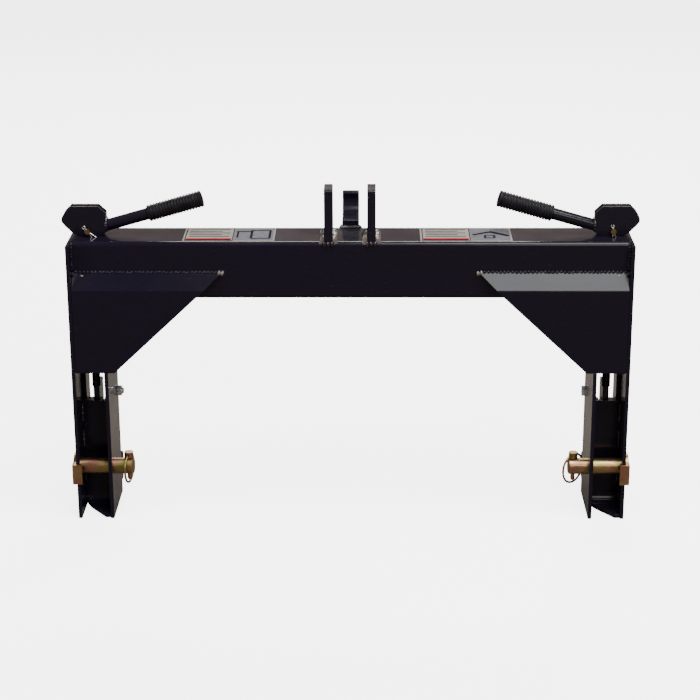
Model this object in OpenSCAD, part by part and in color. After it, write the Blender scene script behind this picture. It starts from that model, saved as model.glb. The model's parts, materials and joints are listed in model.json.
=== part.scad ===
// Three-point quick hitch coupler: a welded square-tube frame that hangs on a
// tractor's three links and catches an implement's pins in three hooks.
// X runs across the frame, Y runs back from the tractor, Z is up.
// Depths (the names ending in _d) are measured back from the legs' front edges.

/* [Frame] */
// Distance between the two legs' centres
leg_pitch = 683; // [600:1:760]
// Height of the frame from the legs' feet to the top of the beam
frame_h = 380; // [376:1:420]
// Side of the square cross beam
beam_side = 76; // [76:1:80]
// Wall of the cross beam
beam_wall = 5; // [4:0.5:6]
// Corner radius of the cross beam
beam_corner = 6; // [5:0.5:8]
// How far the beam's front stands behind the legs' front edges
beam_setback = 18; // [16:1:20]

/* [Legs] */
// Width of a leg over its two side plates
leg_w = 48; // [46:1:52]
// Thickness of the side plates and webs
plate_t = 5; // [4:0.5:5]
// Depth of the web's front face behind the leg's front edge
web_depth = 47; // [44:1:47]
// Height of the web's top edge
web_top = 152; // [120:1:190]
// Inner bend radius where the web turns into the foot
foot_bend_r = 15; // [8:1:20]

/* [Gussets] */
// Thickness of the bent gusset plate
gusset_t = 6; // [5:0.5:6]
// Depth of the gusset's bend below the beam's top
gusset_bend_drop = 60; // [56:1:64]
// Depth of the gusset's bottom edge below the beam's top
gusset_drop = 173; // [150:1:190]
// Distance from the middle to the gusset's inner end at the bend
gusset_inner_x = 189; // [160:1:220]

/* [Top link lugs and hooks] */
// Clear gap between the two lugs
lug_gap = 44.5; // [44.5:0.5:52]
// Thickness of a lug
lug_t = 11; // [8:0.5:12]
// Height of the lugs above the beam
lug_h = 70; // [64:1:76]
// Diameter of the top link pin hole
lug_hole_d = 19.6; // [19.2:0.1:20.4]
// Radius of the top hook's saddle
top_saddle_r = 16; // [15:0.5:16]
// Thickness of the top hook
top_hook_t = 22; // [16:0.5:24]
// Radius of the lower hooks' saddles
low_saddle_r = 18.5; // [17:0.5:18.5]
// Height of the lower saddles' centres above the feet
low_saddle_z = 25; // [25:0.5:32]
// Thickness of each lower hook plate
low_hook_t = 14; // [12:0.5:14]

/* [Latch] */
// Diameter of the latch rod
rod_d = 11; // [10:0.5:11]
// Thickness of the latch bar
bar_t = 8; // [6:0.5:8]
// Diameter of the lever pin
lever_pin_d = 7; // [6:0.5:7]
// Angle of the lever's handle above the beam
handle_angle = 16; // [14:0.5:18]
// Diameter of the handle rod
handle_d = 15.5; // [14:0.5:16]
// Diameter of the rubber grip over its ribs
grip_d = 22; // [20:0.5:24]
// Length of the rubber grip
grip_len = 73; // [60:1:80]
// Ribs on the rubber grip
grip_ribs = 16; // [10:1:20]

/* [Link pins] */
// Diameter of the lower link pins
link_pin_d = 22; // [19:0.5:22]
// Height of the lower link pins above the feet
link_pin_z = 68; // [66:1:80]
// Depth of the lower link pins behind the legs' front edges
link_pin_depth = 22; // [20:1:24]
// Diameter of the lynch pins' shafts
lynch_d = 6; // [5:0.5:6]
// Turn of the left lynch pin about its own axis
lynch_turn_left = 10; // [-45:1:45]
// Turn of the right lynch pin about its own axis
lynch_turn_right = -45; // [-45:1:45]

/* [Hidden] */
$fn = 64;
run_gap = 0.05;

LEFT = -1;
RIGHT = 1;

leg_x = leg_pitch / 2;
leg_in_x = leg_x - leg_w / 2;
leg_out_x = leg_x + leg_w / 2;
leg_d = beam_setback + beam_side;
chan_in_x = leg_in_x + plate_t;
chan_out_x = leg_out_x - plate_t;
beam_mid_d = beam_setback + beam_side / 2;
beam_low_z = frame_h - beam_side;

flag_t = 5;
flag_front_d = -4.5;
hook_back_d = 152.5;
saddle_d = 122;
front_y = -(flag_front_d + hook_back_d) / 2;

top_saddle_z = frame_h + 26;
bar_top_z = 170;
rod_hole_d = rod_d + 1.4;

lever_pin_z = frame_h + 7.8;
cheek_t = 5;
cheek_gap = 6;
eye_r = 7.4;
eye_t = cheek_gap - 0.4;
flat_len = 41;
handle_x = 23.5;
handle_z = 5;
grip_start = 57.5;
handle_len = grip_start + grip_len - 12;

collar_z = 241;
collar_t = 4;
rod_nut_t = 9;
spring_wire = 3;
spring_r = 10;
spring_turns = 7;
seat_t = 4;
spring_top_z = beam_low_z - seat_t;

pin_tip_x = leg_in_x - 27;
lynch_x = pin_tip_x + 7;
lynch_hole_d = lynch_d + 0.8;
lynch_head_z = 12;
lynch_head_h = 8;
ring_r = 20;
ring_wire = 3;
ring_hinge_z = lynch_head_z + 4.2;

tether_z = 153.5;
tether_depth = 81;
tether_d = 8;

decal_t = 0.4;

// ---- Placing helpers -------------------------------------------------------

// Places children drawn for the right side, with Y as depth, on either side
module on_side(side) {
    translate([0, front_y, 0])
        mirror([side == LEFT ? 1 : 0, 0, 0])
            children();
}

// Extrudes a depth-height outline across X, from x0 to x0 + w
module across(x0, w) {
    translate([x0, 0, 0])
        rotate([90, 0, 90])
            linear_extrude(w)
                children();
}

// Extrudes an X-height outline back from depth d0 to d0 + t
module along(d0, t) {
    translate([0, d0 + t, 0])
        rotate([90, 0, 0])
            linear_extrude(t)
                children();
}

// A round bar or hole along X
module x_rod(x0, x1, depth, z, d) {
    translate([x0, depth, z])
        rotate([0, 90, 0])
            cylinder(d = d, h = x1 - x0);
}

// A round bar or hole along the depth
module d_rod(x, d0, d1, z, d) {
    translate([x, d0, z])
        rotate([-90, 0, 0])
            cylinder(d = d, h = d1 - d0);
}

// A square with rounded corners, made of plain squares and circles
module rounded_square(side, r) {
    square([side - 2 * r, side], center = true);
    square([side, side - 2 * r], center = true);
    for (sx = [-1, 1], sz = [-1, 1])
        translate([sx * (side / 2 - r), sz * (side / 2 - r)])
            circle(r);
}

// ---- Frame -----------------------------------------------------------------

// Square tube across the top, with clear holes for the two latch rods
module cross_beam() {
    color("#17151c")
        translate([0, front_y, 0])
            difference() {
                translate([0, beam_mid_d, frame_h - beam_side / 2])
                    across(-chan_out_x, 2 * chan_out_x)
                        difference() {
                            rounded_square(beam_side, beam_corner);
                            rounded_square(beam_side - 2 * beam_wall, beam_corner - beam_wall + 1);
                        }
                for (sx = [-1, 1])
                    translate([sx * leg_x, beam_mid_d, beam_low_z - 1])
                        cylinder(d = rod_hole_d, h = beam_side + 2);
            }
}

// Full-height plate that closes the beam's end and forms the leg's outside
module outer_side_plate(side) {
    color("#17151c")
        on_side(side)
            difference() {
                translate([chan_out_x, 0, 0])
                    cube([plate_t, leg_d, frame_h]);
                x_rod(chan_out_x - 1, leg_out_x + 1, link_pin_depth, link_pin_z,
                      link_pin_d + 2 * run_gap);
            }
}

// Shorter plate under the beam, notched behind the gusset, on the leg's inside
module inner_side_plate(side) {
    gusset_low_z = frame_h - gusset_drop;
    color("#2a2630")
        on_side(side)
            difference() {
                translate([leg_in_x, 0, 0])
                    cube([plate_t, leg_d, beam_low_z]);
                translate([leg_in_x - 1, -1, gusset_low_z])
                    cube([plate_t + 2, gusset_t + 1, beam_low_z]);
                x_rod(leg_in_x - 1, chan_in_x + 1, link_pin_depth, link_pin_z,
                      link_pin_d + 2 * run_gap);
                x_rod(leg_in_x - 1, chan_in_x + 1, tether_depth, tether_z, tether_d);
            }
}

// Web between the side plates, bent forward into a foot that is cut on the bias.
// Both legs take the same part, so the foot's cut leans the same way on both.
module web_plate(side) {
    chan_w = chan_out_x - chan_in_x;
    outer_bend_r = foot_bend_r + plate_t;
    bend_d = web_depth - foot_bend_r;
    x0 = side == LEFT ? -chan_out_x : chan_in_x;
    color("#1b1922")
        translate([0, front_y, 0])
            difference() {
                across(x0, chan_w)
                    union() {
                        translate([web_depth, outer_bend_r])
                            square([plate_t, web_top - outer_bend_r]);
                        translate([3, 0])
                            square([bend_d - 3, plate_t]);
                        translate([bend_d, outer_bend_r])
                            intersection() {
                                difference() {
                                    circle(outer_bend_r);
                                    circle(foot_bend_r);
                                }
                                translate([0, -outer_bend_r])
                                    square(outer_bend_r);
                            }
                    }
                translate([0, 0, -1])
                    linear_extrude(outer_bend_r + 1)
                        polygon([[x0 - 1, web_depth - 1], [x0 - 1, -1], [x0 + chan_w - 7, -1],
                                 [x0 + chan_w - 7, 3]]);
            }
}

// Corner plate flush with the leg's front, its top bent back onto the beam
module gusset_plate(side) {
    bend_z = frame_h - gusset_bend_drop;
    low_z = frame_h - gusset_drop;
    slant = gusset_drop - gusset_bend_drop - 3;
    flange_rise = 21;
    inset = gusset_t * tan(22.5);
    color("#1d1b24")
        on_side(side)
            intersection() {
                across(gusset_inner_x - 60, chan_out_x - gusset_inner_x + 60)
                    polygon([[0, low_z], [0, bend_z], [beam_setback, bend_z + flange_rise],
                             [beam_setback, bend_z + flange_rise - gusset_t * 1.55],
                             [gusset_t, bend_z - inset], [gusset_t, low_z]]);
                along(-1, beam_setback + 2)
                    polygon([[chan_out_x, low_z - 1], [gusset_inner_x + slant * 1.06 + 6, low_z - 1],
                             [gusset_inner_x + slant * 1.06 + 3, low_z],
                             [gusset_inner_x + slant * 1.06, low_z + 3],
                             [gusset_inner_x, bend_z],
                             [gusset_inner_x - 1.15 * flange_rise, bend_z + flange_rise],
                             [chan_out_x, bend_z + flange_rise + 1]]);
            }
}

// Upright ear with the hole for the tractor's top link pin
module link_lug(side) {
    z0 = frame_h;
    color("#1d1b24")
        on_side(side)
            difference() {
                across(lug_gap / 2, lug_t)
                    polygon([[beam_setback, z0], [beam_setback, z0 + lug_h - 3],
                             [beam_setback + 3, z0 + lug_h], [beam_setback + 31, z0 + lug_h],
                             [beam_setback + 35, z0 + lug_h - 4], [beam_setback + 44, z0]]);
                x_rod(lug_gap / 2 - 1, lug_gap / 2 + lug_t + 1, beam_setback + 18,
                      z0 + 46, lug_hole_d);
            }
}

// Hook on the beam's back that catches the implement's top pin
module top_hook() {
    flat_z = top_saddle_z - top_saddle_r * cos(15);
    color("#2a2630")
        translate([0, front_y, 0])
            across(-top_hook_t / 2, top_hook_t)
                difference() {
                    polygon([[leg_d - 6, frame_h], [leg_d - 6, flat_z],
                             [saddle_d, flat_z], [saddle_d, top_saddle_z],
                             [saddle_d + 14.3, top_saddle_z],
                             [saddle_d + 14.3, top_saddle_z + 9],
                             [saddle_d + 17, top_saddle_z + 12], [hook_back_d - 8, top_saddle_z + 11],
                             [hook_back_d - 3, top_saddle_z + 6], [hook_back_d, top_saddle_z - 6],
                             [hook_back_d, top_saddle_z - 24], [hook_back_d - 12, top_saddle_z - 44],
                             [leg_d + 10, frame_h - 68], [leg_d, frame_h - 68], [leg_d, frame_h]]);
                    translate([saddle_d, top_saddle_z])
                        circle(top_saddle_r);
                }
}

// One of the two hook plates in a leg, with the latch bar's gap between them
module lower_hook(side, x0) {
    throat_in = saddle_d - low_saddle_r;
    throat_out = saddle_d + low_saddle_r;
    heel_r = 16;
    web_back = web_depth + plate_t;
    tip_z = low_saddle_z + 13;
    color("#1d1b24")
        on_side(side)
            across(x0, low_hook_t)
                difference() {
                    union() {
                        polygon([[web_back, 0], [hook_back_d - heel_r, 0],
                                 [hook_back_d - heel_r, heel_r], [hook_back_d, heel_r],
                                 [hook_back_d, tip_z - 5], [hook_back_d - 4, tip_z],
                                 [throat_out + 3, tip_z], [throat_out, tip_z - 4],
                                 [throat_out, low_saddle_z],
                                 [throat_in, low_saddle_z], [throat_in, 78],
                                 [leg_d, 100], [leg_d, 140], [web_back, 140]]);
                        intersection() {
                            translate([hook_back_d - heel_r, heel_r])
                                circle(heel_r);
                            translate([hook_back_d - heel_r, 0])
                                square(heel_r);
                        }
                    }
                    translate([saddle_d, low_saddle_z])
                        circle(low_saddle_r);
                }
}

// Welded ring under the beam that centres the latch spring
module spring_seat(side) {
    color("#1d1b24")
        on_side(side)
            translate([leg_x, beam_mid_d, spring_top_z])
                difference() {
                    cylinder(d = 30, h = seat_t);
                    translate([0, 0, -1])
                        cylinder(d = rod_hole_d, h = seat_t + 2);
                }
}

// Strip welded up the outer side plate's back, beside the latch rod
module rod_guard(side) {
    guard_t = 4.5;
    guard_w = 34;
    color("#1d1b24")
        on_side(side)
            translate([chan_out_x - guard_t, leg_d - guard_w, 140])
                cube([guard_t, guard_w, collar_z - 5 - 140]);
}

// ---- Small fasteners -------------------------------------------------------

// Six-sided prism along X
module x_hex(x0, x1, across_flats) {
    translate([x0, tether_depth, tether_z])
        rotate([0, 90, 0])
            cylinder(d = across_flats / cos(30), h = x1 - x0, $fn = 6);
}

// Short bolt through the inner side plate; the left one has its nut outside
module tether_bolt(side) {
    head_t = 5.3;
    tail = 9;
    out_x = side == LEFT ? leg_in_x - tail : leg_in_x;
    in_x = side == LEFT ? chan_in_x : chan_in_x + tail;
    color("#c9c7bd")
        on_side(side) {
            x_rod(out_x, in_x, tether_depth, tether_z, tether_d);
            if (side == LEFT)
                x_hex(chan_in_x, chan_in_x + head_t, 13);
            else
                x_hex(leg_in_x - head_t, leg_in_x, 13);
        }
}

module tether_nut(side) {
    nut_t = 6.5;
    x0 = side == LEFT ? leg_in_x - nut_t : chan_in_x;
    color("#c9c7bd")
        on_side(side)
            difference() {
                x_hex(x0, x0 + nut_t, 13);
                x_rod(x0 - 1, x0 + nut_t + 1, tether_depth, tether_z, tether_d);
            }
}

// Thin sticker on the beam's top
module decal(side) {
    near = side == LEFT ? 98 : 91;
    color("#b9b2aa")
        on_side(side)
            translate([near, beam_mid_d - 31, frame_h])
                cube([119, 62, decal_t]);
}

// ---- Lower link pins -------------------------------------------------------

// Headless pin through both side plates, cross-drilled for the lynch pin
module link_pin(side) {
    chamfer = 2;
    color("#b89a55")
        on_side(side)
            difference() {
                union() {
                    x_rod(pin_tip_x + chamfer, leg_out_x, link_pin_depth, link_pin_z, link_pin_d);
                    translate([pin_tip_x, link_pin_depth, link_pin_z])
                        rotate([0, 90, 0])
                            cylinder(d1 = link_pin_d - 2 * chamfer, d2 = link_pin_d, h = chamfer);
                }
                translate([lynch_x, link_pin_depth, link_pin_z - link_pin_d])
                    cylinder(d = lynch_hole_d, h = 2 * link_pin_d);
            }
}

// Bent tab on the pin's outer end that hooks the plate's edge and stops it turning
module pin_flag(side) {
    flag_h = 28;
    lip_w = 13;
    gap = 0.4;
    low_z = link_pin_z - flag_h / 2 - 3;
    color("#a98f58")
        on_side(side) {
            translate([leg_out_x + gap, flag_front_d, low_z])
                cube([flag_t - gap, link_pin_depth - flag_front_d, flag_h]);
            x_rod(leg_out_x + gap, leg_out_x + flag_t, link_pin_depth, link_pin_z, 36);
            x_rod(leg_out_x, leg_out_x + flag_t, link_pin_depth, link_pin_z, link_pin_d);
            translate([leg_out_x + flag_t - lip_w, flag_front_d, low_z])
                cube([lip_w, -flag_front_d - gap, flag_h]);
        }
}

// Places a lynch pin's parts at the link pin's cross hole
module at_lynch(side) {
    turn = side == LEFT ? lynch_turn_left : lynch_turn_right;
    on_side(side)
        translate([lynch_x, link_pin_depth, link_pin_z])
            rotate([0, 0, turn])
                children();
}

// Shaft and round head of the lynch pin
module lynch_pin(side) {
    tail = 18;
    color("#c0a565")
        at_lynch(side)
            difference() {
                union() {
                    translate([0, 0, -tail])
                        cylinder(d = lynch_d, h = tail + lynch_head_z);
                    translate([0, 0, -tail - 2])
                        cylinder(d1 = lynch_d - 2.5, d2 = lynch_d, h = 2);
                    translate([0, 0, lynch_head_z])
                        cylinder(d = 12, h = lynch_head_h);
                }
                translate([0, 10, ring_hinge_z])
                    rotate([90, 0, 0])
                        cylinder(d = ring_wire + 0.8, h = 20);
            }
}

// Spring wire hoop hinged in the head, closed round the link pin
module lynch_ring(side) {
    end_y = 8;
    open_half = asin(end_y / ring_r);
    centre_z = ring_hinge_z - 0.6 - ring_r * cos(open_half);
    color("#c0a565")
        at_lynch(side) {
            translate([0, 0, centre_z])
                rotate([90, 0, 90])
                    rotate([0, 0, 90 + open_half])
                        rotate_extrude(angle = 360 - 2 * open_half)
                            translate([ring_r, 0])
                                circle(d = ring_wire, $fn = 24);
            for (s = [-1, 1])
                translate([0, s * (end_y + 0.9), ring_hinge_z])
                    rotate([90 * s, 0, 0])
                        cylinder(d = ring_wire, h = 5.2, $fn = 24);
        }
}

// ---- Latch -----------------------------------------------------------------

// Pull rod from the lever's pin down to the latch bar, its top end pressed flat
module latch_rod(side) {
    color("#34313a")
        on_side(side)
            difference() {
                union() {
                    translate([leg_x, beam_mid_d, bar_top_z])
                        cylinder(d = rod_d, h = lever_pin_z - 6 - bar_top_z);
                    translate([leg_x - rod_d / 2, beam_mid_d - eye_t / 2, lever_pin_z - 14])
                        cube([rod_d, eye_t, 14]);
                    d_rod(leg_x, beam_mid_d - eye_t / 2, beam_mid_d + eye_t / 2,
                          lever_pin_z, 2 * eye_r);
                }
                d_rod(leg_x, beam_mid_d - 10, beam_mid_d + 10, lever_pin_z, lever_pin_d);
                for (s = [-1, 1])
                    translate([leg_x - 10, beam_mid_d + s * (eye_t / 2 + 5) - 5,
                               lever_pin_z - flat_len])
                        cube([20, 10, flat_len + 10]);
            }
}

// Flat bar that slides between the hook plates and shuts the hook's mouth
module latch_bar(side) {
    front = web_depth + plate_t + 1;
    nose_z = low_saddle_z + low_saddle_r + 3;
    color("#34313a")
        on_side(side)
            across(leg_x - bar_t / 2, bar_t)
                polygon([[front, 30], [leg_d, 30], [leg_d + 5, nose_z], [saddle_d + 4, nose_z],
                         [saddle_d + 11, nose_z + 7], [saddle_d + 11, nose_z + 15],
                         [leg_d - 1, nose_z + 52], [leg_d - 1, bar_top_z], [front, bar_top_z]]);
}

// Washer that carries the lower end of the spring
module rod_collar(side) {
    color("#c9c7bd")
        on_side(side)
            translate([leg_x, beam_mid_d, collar_z])
                difference() {
                    cylinder(d = 28, h = collar_t);
                    translate([0, 0, -1])
                        cylinder(d = rod_d, h = collar_t + 2);
                }
}

// Nut that holds the washer up on the rod
module rod_nut(side) {
    color("#c9c7bd")
        on_side(side)
            translate([leg_x, beam_mid_d, collar_z - rod_nut_t])
                difference() {
                    cylinder(d = 18 / cos(30), h = rod_nut_t, $fn = 6);
                    translate([0, 0, -1])
                        cylinder(d = rod_d, h = rod_nut_t + 2);
                }
}

// Compression spring, swept along a helix as a closed tube
module latch_spring(side) {
    low_z = collar_z + collar_t;
    rise = spring_top_z - low_z - spring_wire;
    per_turn = 16;
    rings = spring_turns * per_turn;
    sides = 8;
    function centre(i) = [spring_r * cos(360 * i / per_turn), spring_r * sin(360 * i / per_turn),
                          low_z + spring_wire / 2 + rise * i / rings];
    function ring_point(i, k) =
        let (a = 360 * i / per_turn, b = 360 * k / sides, r = spring_wire / 2)
        centre(i) + [r * cos(b) * cos(a), r * cos(b) * sin(a), r * sin(b)];
    points = [for (i = [0 : rings], k = [0 : sides - 1]) ring_point(i, k)];
    walls = [for (i = [0 : rings - 1], k = [0 : sides - 1])
             let (n = (k + 1) % sides)
             [i * sides + k, i * sides + n, (i + 1) * sides + n, (i + 1) * sides + k]];
    start_cap = [[for (k = [sides - 1 : -1 : 0]) k]];
    end_cap = [[for (k = [0 : sides - 1]) rings * sides + k]];
    color("#8d8d92")
        on_side(side)
            translate([leg_x, beam_mid_d, 0])
                polyhedron(points, concat(start_cap, walls, end_cap));
}

// ---- Lever -----------------------------------------------------------------

// Places children drawn with X as the distance inboard of the lever pin
module at_lever(side) {
    on_side(side)
        translate([leg_x, beam_mid_d, lever_pin_z])
            mirror([1, 0, 0])
                children();
}

// Cam plate beside the rod's eye; its outer edge rolls on the beam
module lever_cheek(side, d0) {
    color("#221f2a")
        at_lever(side)
            difference() {
                along(d0, cheek_t)
                    polygon([[-22, 32], [14, 32], [23.5, 23], [23.5, -2.5], [18, -7.5], [-12, -7.5],
                             [-19, -5], [-30, 6], [-34, 11], [-34.5, 14], [-33.5, 18], [-30, 24]]);
                d_rod(0, d0 - 1, d0 + cheek_t + 1, 0, lever_pin_d + 2 * run_gap);
            }
}

// Places children along the handle's own axis
module at_handle(side) {
    at_lever(side)
        translate([handle_x, 0, handle_z])
            rotate([0, 90 - handle_angle, 0])
                children();
}

// Round handle rod, butt-welded to the cheeks' inner edge
module lever_rod(side) {
    color("#221f2a")
        at_lever(side)
            difference() {
                translate([handle_x, 0, handle_z])
                    rotate([0, 90 - handle_angle, 0])
                        translate([0, 0, -5])
                            cylinder(d = handle_d, h = handle_len + 5);
                translate([handle_x - 30, -20, -20])
                    cube([30, 40, 50]);
            }
}

// Rubber sleeve with raised ribs and an open end
module lever_grip(side) {
    rib_pitch = (grip_len - 6) / grip_ribs;
    core_d = grip_d - 2.4;
    color("#121214")
        at_handle(side)
            translate([0, 0, grip_start])
                difference() {
                    union() {
                        cylinder(d = core_d, h = grip_len);
                        for (i = [0 : grip_ribs - 1])
                            translate([0, 0, 3 + i * rib_pitch])
                                cylinder(d = grip_d, h = rib_pitch * 0.55);
                    }
                    translate([0, 0, -1])
                        cylinder(d = handle_d, h = grip_len + 2);
                }
}

// Clevis pin through both cheeks and the rod's eye
module lever_pin(side) {
    half = cheek_gap / 2 + cheek_t;
    color("#b89a55")
        at_lever(side)
            difference() {
                union() {
                    d_rod(0, -half - 8, half + 0.5, 0, lever_pin_d);
                    d_rod(0, half + 0.5, half + 3.5, 0, 11);
                }
                translate([0, -half - 4.5, -10])
                    cylinder(d = 2.4, h = 20);
            }
}

// Split pin through the lever pin's front end
module cotter_pin(side) {
    half = cheek_gap / 2 + cheek_t;
    color("#d8d4c4")
        at_lever(side)
            translate([0, -half - 4.5, 0]) {
                translate([0, 0, -7])
                    cylinder(d = 2.2, h = 13, $fn = 24);
                translate([0, 0, 8.6])
                    rotate([90, 0, 0])
                        rotate_extrude($fn = 32)
                            translate([3, 0])
                                circle(d = 2, $fn = 16);
            }
}

// ---- Nodes -----------------------------------------------------------------

cross_beam();
outer_side_plate(LEFT);  // outer_side_plate_left
outer_side_plate(RIGHT);  // outer_side_plate_right
inner_side_plate(LEFT);  // inner_side_plate_left
inner_side_plate(RIGHT);  // inner_side_plate_right
web_plate(LEFT);  // web_plate_left
web_plate(RIGHT);  // web_plate_right
gusset_plate(LEFT);  // gusset_plate_left
gusset_plate(RIGHT);  // gusset_plate_right
link_lug(LEFT);  // link_lug_left
link_lug(RIGHT);  // link_lug_right
top_hook();
lower_hook(LEFT, chan_out_x - low_hook_t);  // lower_hook_outer_left
lower_hook(RIGHT, chan_out_x - low_hook_t);  // lower_hook_outer_right
lower_hook(LEFT, chan_in_x);  // lower_hook_inner_left
lower_hook(RIGHT, chan_in_x);  // lower_hook_inner_right
spring_seat(LEFT);  // spring_seat_left
spring_seat(RIGHT);  // spring_seat_right
rod_guard(LEFT);  // rod_guard_left
rod_guard(RIGHT);  // rod_guard_right
tether_bolt(LEFT);  // tether_bolt_left
tether_bolt(RIGHT);  // tether_bolt_right
tether_nut(LEFT);  // tether_nut_left
tether_nut(RIGHT);  // tether_nut_right
decal(LEFT);  // decal_left
decal(RIGHT);  // decal_right
link_pin(LEFT);  // link_pin_left
link_pin(RIGHT);  // link_pin_right
pin_flag(LEFT);  // pin_flag_left
pin_flag(RIGHT);  // pin_flag_right
lynch_pin(LEFT);  // lynch_pin_left
lynch_pin(RIGHT);  // lynch_pin_right
lynch_ring(LEFT);  // lynch_ring_left
lynch_ring(RIGHT);  // lynch_ring_right
latch_rod(LEFT);  // latch_rod_left
latch_rod(RIGHT);  // latch_rod_right
latch_bar(LEFT);  // latch_bar_left
latch_bar(RIGHT);  // latch_bar_right
rod_collar(LEFT);  // rod_collar_left
rod_collar(RIGHT);  // rod_collar_right
rod_nut(LEFT);  // rod_nut_left
rod_nut(RIGHT);  // rod_nut_right
latch_spring(LEFT);  // latch_spring_left
latch_spring(RIGHT);  // latch_spring_right
lever_pin(LEFT);  // lever_pin_left
lever_pin(RIGHT);  // lever_pin_right
cotter_pin(LEFT);  // cotter_pin_left
cotter_pin(RIGHT);  // cotter_pin_right
lever_cheek(LEFT, -cheek_gap / 2 - cheek_t);  // lever_cheek_front_left
lever_cheek(RIGHT, -cheek_gap / 2 - cheek_t);  // lever_cheek_front_right
lever_cheek(LEFT, cheek_gap / 2);  // lever_cheek_rear_left
lever_cheek(RIGHT, cheek_gap / 2);  // lever_cheek_rear_right
lever_rod(LEFT);  // lever_rod_left
lever_rod(RIGHT);  // lever_rod_right
lever_grip(LEFT);  // lever_grip_left
lever_grip(RIGHT);  // lever_grip_right
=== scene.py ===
"""Looks of a three-point quick hitch coupler: gloss black welded steel, zinc pins and rubber grips."""
import json
from math import cos, pi, radians, sin

import bmesh
import bpy
from mathutils import Matrix, Vector


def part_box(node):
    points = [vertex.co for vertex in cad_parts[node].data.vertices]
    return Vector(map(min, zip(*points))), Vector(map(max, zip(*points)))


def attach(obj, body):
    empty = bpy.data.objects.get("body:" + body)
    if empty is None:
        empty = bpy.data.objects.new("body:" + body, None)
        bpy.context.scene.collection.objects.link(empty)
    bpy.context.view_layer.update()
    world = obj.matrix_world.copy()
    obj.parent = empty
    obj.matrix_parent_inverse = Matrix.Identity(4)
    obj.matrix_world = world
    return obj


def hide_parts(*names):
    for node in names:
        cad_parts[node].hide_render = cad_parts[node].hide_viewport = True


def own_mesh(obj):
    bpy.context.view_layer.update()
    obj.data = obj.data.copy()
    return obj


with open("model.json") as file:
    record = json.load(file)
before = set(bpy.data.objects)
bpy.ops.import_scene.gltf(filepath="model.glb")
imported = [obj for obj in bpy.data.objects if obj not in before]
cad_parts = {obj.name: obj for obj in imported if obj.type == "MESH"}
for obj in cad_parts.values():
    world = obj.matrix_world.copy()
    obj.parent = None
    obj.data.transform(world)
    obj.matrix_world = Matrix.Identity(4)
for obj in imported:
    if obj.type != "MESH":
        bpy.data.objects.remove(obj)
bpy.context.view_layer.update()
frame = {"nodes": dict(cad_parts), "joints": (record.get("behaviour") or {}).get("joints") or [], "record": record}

# ---- Photographer's stand ---------------------------------------------------------------------
# A long lens stands in front of the hitch on the tractor's side and looks down on it. The floor
# is one pale sheet that runs far past the view in every direction. It is pale to the eye but
# throws little light back, so that black paint stays black, as over a studio's dark flags.
CAMERA_PLACE = Vector((0.0309, -2.4776, 1.0760))
CAMERA_PITCH = radians(19.18)
CAMERA_HEADING = radians(0.74)
CAMERA_ROLL = radians(-0.21)
camera = bpy.data.objects.new("camera", bpy.data.cameras.new("camera"))
bpy.context.scene.collection.objects.link(camera)
camera.data.sensor_width = 36.0
camera.data.lens = 100.5
camera.data.clip_end = 60.0
turn = Matrix.Rotation(CAMERA_HEADING, 4, "Z") @ Matrix.Rotation(pi / 2 - CAMERA_PITCH, 4, "X")
camera.matrix_world = Matrix.Translation(CAMERA_PLACE) @ turn @ Matrix.Rotation(CAMERA_ROLL, 4, "Z")
bpy.context.scene.camera = camera


def principled(name, **sockets):
    """Makes a material and returns it with its shader node, its constant sockets set."""
    material = bpy.data.materials.new(name)
    material.use_nodes = True
    shader = material.node_tree.nodes["Principled BSDF"]
    for socket, value in sockets.items():
        shader.inputs[socket.replace("_", " ")].default_value = value
    return material, shader


def object_from(name, mesh):
    """Wraps a mesh in an object at the origin."""
    piece = bpy.data.objects.new(name, mesh)
    bpy.context.scene.collection.objects.link(piece)
    return piece


FLOOR_HALF = 14.0
FLOOR_GLOW = 4.5
floor_mesh = bpy.data.meshes.new("floor")
floor_mesh.from_pydata([(-FLOOR_HALF, -FLOOR_HALF, 0), (FLOOR_HALF, -FLOOR_HALF, 0),
                        (FLOOR_HALF, FLOOR_HALF, 0), (-FLOOR_HALF, FLOOR_HALF, 0)], [], [(0, 1, 2, 3)])
floor = object_from("floor", floor_mesh)
floor_paint, floor_shader = principled("pale_floor", Roughness=0.9, Specular_IOR_Level=0.0)
floor_nodes = floor_paint.node_tree
floor_rays = floor_nodes.nodes.new("ShaderNodeLightPath")
floor_tone = floor_nodes.nodes.new("ShaderNodeMix")
floor_tone.data_type = "RGBA"
floor_tone.inputs[6].default_value = (0.20, 0.175, 0.155, 1)
floor_tone.inputs[7].default_value = (0.9, 0.9, 0.9, 1)
floor_nodes.links.new(floor_rays.outputs["Is Camera Ray"], floor_tone.inputs[0])
floor_nodes.links.new(floor_tone.outputs[2], floor_shader.inputs["Base Color"])
floor_nodes.links.new(floor_tone.outputs[2], floor_shader.inputs["Emission Color"])
floor_glow = floor_nodes.nodes.new("ShaderNodeMath")
floor_glow.operation = "MULTIPLY"
floor_glow.inputs[1].default_value = FLOOR_GLOW
floor_nodes.links.new(floor_rays.outputs["Is Camera Ray"], floor_glow.inputs[0])
floor_nodes.links.new(floor_glow.outputs[0], floor_shader.inputs["Emission Strength"])
floor_mesh.materials.append(floor_paint)


def softbox(name, place, aim, size, power, colour=(1, 1, 1)):
    """A rectangular area light at a place, facing a point."""
    lamp = bpy.data.lights.new(name, "AREA")
    lamp.shape = "RECTANGLE"
    lamp.size, lamp.size_y = size
    lamp.energy = power
    lamp.color = colour
    holder = bpy.data.objects.new(name, lamp)
    bpy.context.scene.collection.objects.link(holder)
    facing = (Vector(aim) - Vector(place)).to_track_quat("-Z", "Y")
    holder.matrix_world = Matrix.Translation(place) @ facing.to_matrix().to_4x4()


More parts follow.
